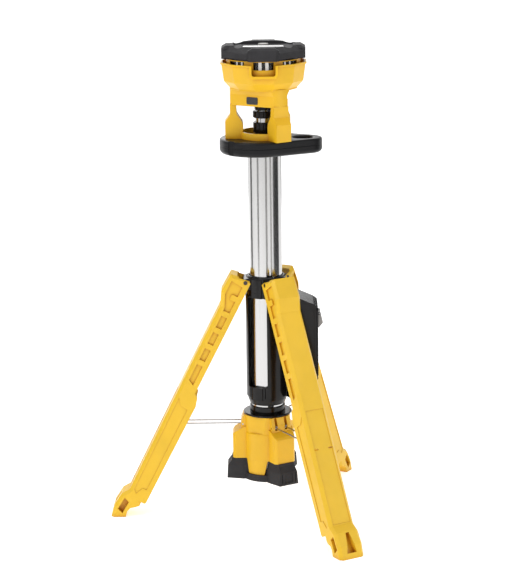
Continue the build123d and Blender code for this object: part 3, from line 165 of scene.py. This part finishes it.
def rubber(name, colour, rough=0.62):
    """Soft overmould: matt, slightly mottled, with a leathery fine grain."""
    n = Nodes(name)
    dusty = tuple(c * 1.25 + 0.006 for c in colour)
    n.link(n.ramp(n.noise(22, 6, 0.6), [(0.35, colour), (0.75, dusty)]), n.shader.inputs["Base Color"])
    n.link(n.spread(n.noise(60, 4), rough * 0.9, min(1, rough * 1.1)), n.shader.inputs["Roughness"])
    cells = n.add("ShaderNodeTexVoronoi")
    cells.inputs["Scale"].default_value = 900
    n.link(n.position, cells.inputs["Vector"])
    leather = n.bump(cells.outputs["Distance"], 0.35, LEATHER_DEPTH, under=n.rounded(RUBBER_EDGE))
    n.link(n.bump(n.noise(1800, 2), 0.25, 0.00005, under=leather), n.shader.inputs["Normal"])
    n.shader.inputs["Specular IOR Level"].default_value = 0.3
    return n.material


def drawn_metal(name, colour, rough, streak=(900.0, 900.0, 6.0), relief=0.12):
    """Drawn or brushed metal: streaks along the length, in gloss and in fine relief."""
    n = Nodes(name)
    lines = n.noise(1.0, 6, 0.65, vector=n.stretched(streak))
    darker = tuple(c * 0.93 for c in colour)
    n.link(n.ramp(lines, [(0.3, darker), (0.7, colour)]), n.shader.inputs["Base Color"])
    n.link(n.spread(lines, rough * 0.75, rough * 1.3), n.shader.inputs["Roughness"])
    n.link(n.bump(lines, relief, STREAK_DEPTH, under=n.rounded(METAL_EDGE)),
           n.shader.inputs["Normal"])
    n.shader.inputs["Metallic"].default_value = 1.0
    return n.material


def clear_plastic(name):
    """Clear polycarbonate with faint ripples."""
    n = Nodes(name)
    n.shader.inputs["Base Color"].default_value = (1, 1, 1, 1)
    n.shader.inputs["Transmission Weight"].default_value = 1.0
    n.shader.inputs["IOR"].default_value = 1.2
    n.link(n.spread(n.noise(30, 3), 0.02, 0.05), n.shader.inputs["Roughness"])
    return n.material


def lamp_face(name, colour, glow, dot=320.0):
    """White diffuser with the faint dots of the chips behind it."""
    n = Nodes(name)
    cells = n.add("ShaderNodeTexVoronoi")
    cells.inputs["Scale"].default_value = dot
    n.link(n.position, cells.inputs["Vector"])
    shade = tuple(c * 0.82 for c in colour)
    n.link(n.ramp(cells.outputs["Distance"], [(0.2, colour), (0.6, shade)]),
           n.shader.inputs["Base Color"])
    n.link(n.spread(n.noise(90, 3), 0.25, 0.4), n.shader.inputs["Roughness"])
    n.shader.inputs["Emission Color"].default_value = (1, 0.98, 0.94, 1)
    n.shader.inputs["Emission Strength"].default_value = glow
    return n.material


def circuit(name):
    """Green solder mask with a hint of tracks."""
    n = Nodes(name)
    tracks = n.add("ShaderNodeTexBrick")
    tracks.inputs["Scale"].default_value = 120
    tracks.inputs["Color1"].default_value = (0.01, 0.10, 0.04, 1)
    tracks.inputs["Color2"].default_value = (0.012, 0.13, 0.05, 1)
    tracks.inputs["Mortar"].default_value = (0.03, 0.22, 0.09, 1)
    n.link(n.position, tracks.inputs["Vector"])
    n.link(tracks.outputs["Color"], n.shader.inputs["Base Color"])
    n.link(n.spread(n.noise(50), 0.25, 0.4), n.shader.inputs["Roughness"])
    return n.material


YELLOW = (0.84, 0.49, 0.014)
LEG_YELLOW = (0.86, 0.53, 0.024)
FINISHES = {
    # the yellow plastics take a dark amber painted shade in corners and recesses
    "yellow_plastic": plastic("yellow_plastic", YELLOW, 0.34, specular=0.4, hollow_shade=(0.72, 0.5, 0.3)),
    "leg_plastic": plastic("leg_plastic", LEG_YELLOW, 0.38, specular=0.4, hollow_shade=(0.72, 0.5, 0.3)),
    "black_plastic": plastic("black_plastic", (0.0045, 0.0036, 0.0034), 0.2, relief=0.08, specular=0.28),
    "handle_plastic": plastic("handle_plastic", (0.007, 0.007, 0.008), 0.36, relief=0.4, grain=1500,
                              specular=0.25),
    "rubber": rubber("rubber", (0.022, 0.021, 0.023)),
    "aluminium": drawn_metal("aluminium", (0.60, 0.595, 0.59), 0.15),
    "steel": drawn_metal("steel", (0.52, 0.50, 0.49), 0.25, streak=(400, 400, 400)),
    "dark_screw": drawn_metal("dark_screw", (0.10, 0.085, 0.08), 0.35, streak=(500, 500, 500)),
    "grey_plastic": plastic("grey_plastic", (0.42, 0.40, 0.38), 0.40),
    "nylon": plastic("nylon", (0.028, 0.027, 0.027), 0.5, relief=0.3),
    "clear_lens": clear_plastic("clear_lens"),
    "led": lamp_face("led", (0.92, 0.91, 0.88), 0.35),
    "heat_sink": plastic("heat_sink", (0.012, 0.010, 0.010), 0.35, relief=0.1),
    "circuit_board": circuit("circuit_board"),
    "contact_brass": drawn_metal("contact_brass", (0.78, 0.55, 0.22), 0.25),
    "badge": plastic("badge", (0.02, 0.019, 0.019), 0.25, coat=0.5),
    "light_bar": lamp_face("light_bar", (0.95, 0.95, 0.95), 0.15, dot=160.0),
}

for entry in frame["record"]["subparts"]:
    node = frame["nodes"][entry["node"]]
    node.data.materials.clear()
    node.data.materials.append(FINISHES[entry["material_slot"]])


# ---------------------------------------------------------------- studio
FLOOR = CAD_BOX[0][2]
FLOOR_FRONT = -9.0
FLOOR_BACK = 5.0
BACKDROP_CURVE = 2.0
BACKDROP_TOP = 9.0
BACKDROP_HALF_WIDTH = 12
CURVE_STEPS = 12


def studio_floor():
    """Pale floor that curves up into a backdrop far behind the object."""
    build = bmesh.new()
    profile = [(FLOOR_FRONT, 0.0), (FLOOR_BACK, 0.0)]
    for step in range(1, CURVE_STEPS + 1):
        turn = step / CURVE_STEPS * pi / 2
        profile.append((FLOOR_BACK + BACKDROP_CURVE * sin(turn),
                        BACKDROP_CURVE - BACKDROP_CURVE * cos(turn)))
    profile.append((FLOOR_BACK + BACKDROP_CURVE, BACKDROP_TOP))
    rows = []
    for along, up in profile:
        left = build.verts.new((-BACKDROP_HALF_WIDTH, along, FLOOR + up))
        right = build.verts.new((BACKDROP_HALF_WIDTH, along, FLOOR + up))
        rows.append((left, right))
    for (a, b), (c, d) in zip(rows, rows[1:]):
        build.faces.new((a, b, d, c)).smooth = True
    mesh = bpy.data.meshes.new("studio_floor")
    build.to_mesh(mesh)
    build.free()
    floor = bpy.data.objects.new("studio_floor", mesh)
    bpy.context.scene.collection.objects.link(floor)
    paint = Nodes("studio_paper")
    paint.link(paint.ramp(paint.noise(3), [(0.3, (0.93, 0.93, 0.93)), (0.7, (0.95, 0.95, 0.95))]),
               paint.shader.inputs["Base Color"])
    paint.shader.inputs["Roughness"].default_value = 0.9
    paint.shader.inputs["Emission Color"].default_value = (1, 1, 1, 1)
    paint.shader.inputs["Emission Strength"].default_value = 0.55
    floor.data.materials.append(paint.material)


def softbox(name, place, target, size, power, colour=(1, 1, 1)):
    """Rectangular area light aimed at a point."""
    data = bpy.data.lights.new(name, "AREA")
    data.shape = "RECTANGLE"
    data.size, data.size_y = size
    data.energy = power
    data.color = colour
    light = bpy.data.objects.new(name, data)
    light.location = place
    light.rotation_euler = (Vector(target) - Vector(place)).to_track_quat("-Z", "Y").to_euler()
    bpy.context.scene.collection.objects.link(light)


SKY_GLOW = 0.42
SKY_SEEN = 1.22
CARD_HEIGHT = 0.9
# name, place on the floor, width, height and grey value of each card
CARDS = (("right", (1.9, -0.3), 1.7, 3.4, 0.03), ("left", (-2.1, 0.8), 0.7, 3.4, 0.05),
         ("front_left", (-1.9, -1.6), 0.5, 3.4, 0.25), ("back_left", (-1.0, 3.6), 1.0, 3.0, 0.02),
         ("back_right", (1.4, 3.4), 1.2, 3.0, 0.02))


def reflection_card(name, place, width, height, shade):
    """Grey card that only shows in reflections, to draw bands along polished metal."""
    build = bmesh.new()
    corners = [(-width / 2, 0, -height / 2), (width / 2, 0, -height / 2),
               (width / 2, 0, height / 2), (-width / 2, 0, height / 2)]
    build.faces.new([build.verts.new(corner) for corner in corners])
    mesh = bpy.data.meshes.new(name)
    build.to_mesh(mesh)
    build.free()
    card = bpy.data.objects.new(name, mesh)
    card.location = place
    card.rotation_euler = (0, 0, atan2(-place[0], place[1]))
    bpy.context.scene.collection.objects.link(card)
    cloth = Nodes(name)
    darker = tuple(shade * 0.8 for _ in range(3))
    cloth.link(cloth.ramp(cloth.noise(2), [(0.3, darker), (0.7, (shade, shade, shade))]),
               cloth.shader.inputs["Base Color"])
    cloth.shader.inputs["Roughness"].default_value = 1.0
    card.data.materials.append(cloth.material)
    for rays in ("visible_camera", "visible_diffuse", "visible_shadow", "visible_transmission"):
        setattr(card, rays, False)


def studio_lights():
    """A large key from the upper left, a fill from the right and dark cards for the metal."""
    middle = (0, 0, 0.45)
    softbox("key_light", (-2.6, -2.4, 2.6), middle, (1.8, 2.4), 48)
    softbox("fill_light", (2.8, -1.6, 1.5), middle, (0.7, 2.6), 16)
    softbox("top_light", (0, -0.4, 3.4), middle, (2.6, 2.6), 26)
    softbox("back_light", (-1.0, 3.2, 1.8), middle, (2.0, 2.0), 20)
    for name, along, width, height, shade in CARDS:
        reflection_card(f"card_{name}", (*along, CARD_HEIGHT), width, height, shade)
    world = bpy.data.worlds.new("studio_world")
    world.use_nodes = True
    sky = world.node_tree.nodes["Background"]
    sky.inputs["Color"].default_value = (1, 1, 1, 1)
    # the backdrop reads as white, and the light it sheds stays soft
    rays = world.node_tree.nodes.new("ShaderNodeLightPath")
    strength = world.node_tree.nodes.new("ShaderNodeMath")
    strength.operation = "MULTIPLY_ADD"
    seen, gain, base = strength.inputs
    gain.default_value = SKY_SEEN - SKY_GLOW
    base.default_value = SKY_GLOW
    world.node_tree.links.new(rays.outputs["Is Camera Ray"], seen)
    world.node_tree.links.new(strength.outputs["Value"], sky.inputs["Strength"])
    bpy.context.scene.world = world
    bpy.context.scene.view_settings.view_transform = "Standard"


def studio_camera():
    """Camera at standing height, looking down a little along +Y."""
    distance, height, down, roll = 4.53, 1.53, radians(13.5), radians(-0.7)
    data = bpy.data.cameras.new("camera")
    data.lens = 129.6
    data.shift_x = -0.0063
    camera = bpy.data.objects.new("camera", data)
    aim = Matrix.Rotation(pi / 2 - down, 4, "X") @ Matrix.Rotation(roll, 4, "Z")
    camera.matrix_world = Matrix.Translation((0, -distance, height)) @ aim
    bpy.context.scene.collection.objects.link(camera)
    bpy.context.scene.camera = camera


studio_floor()
studio_lights()
studio_camera()
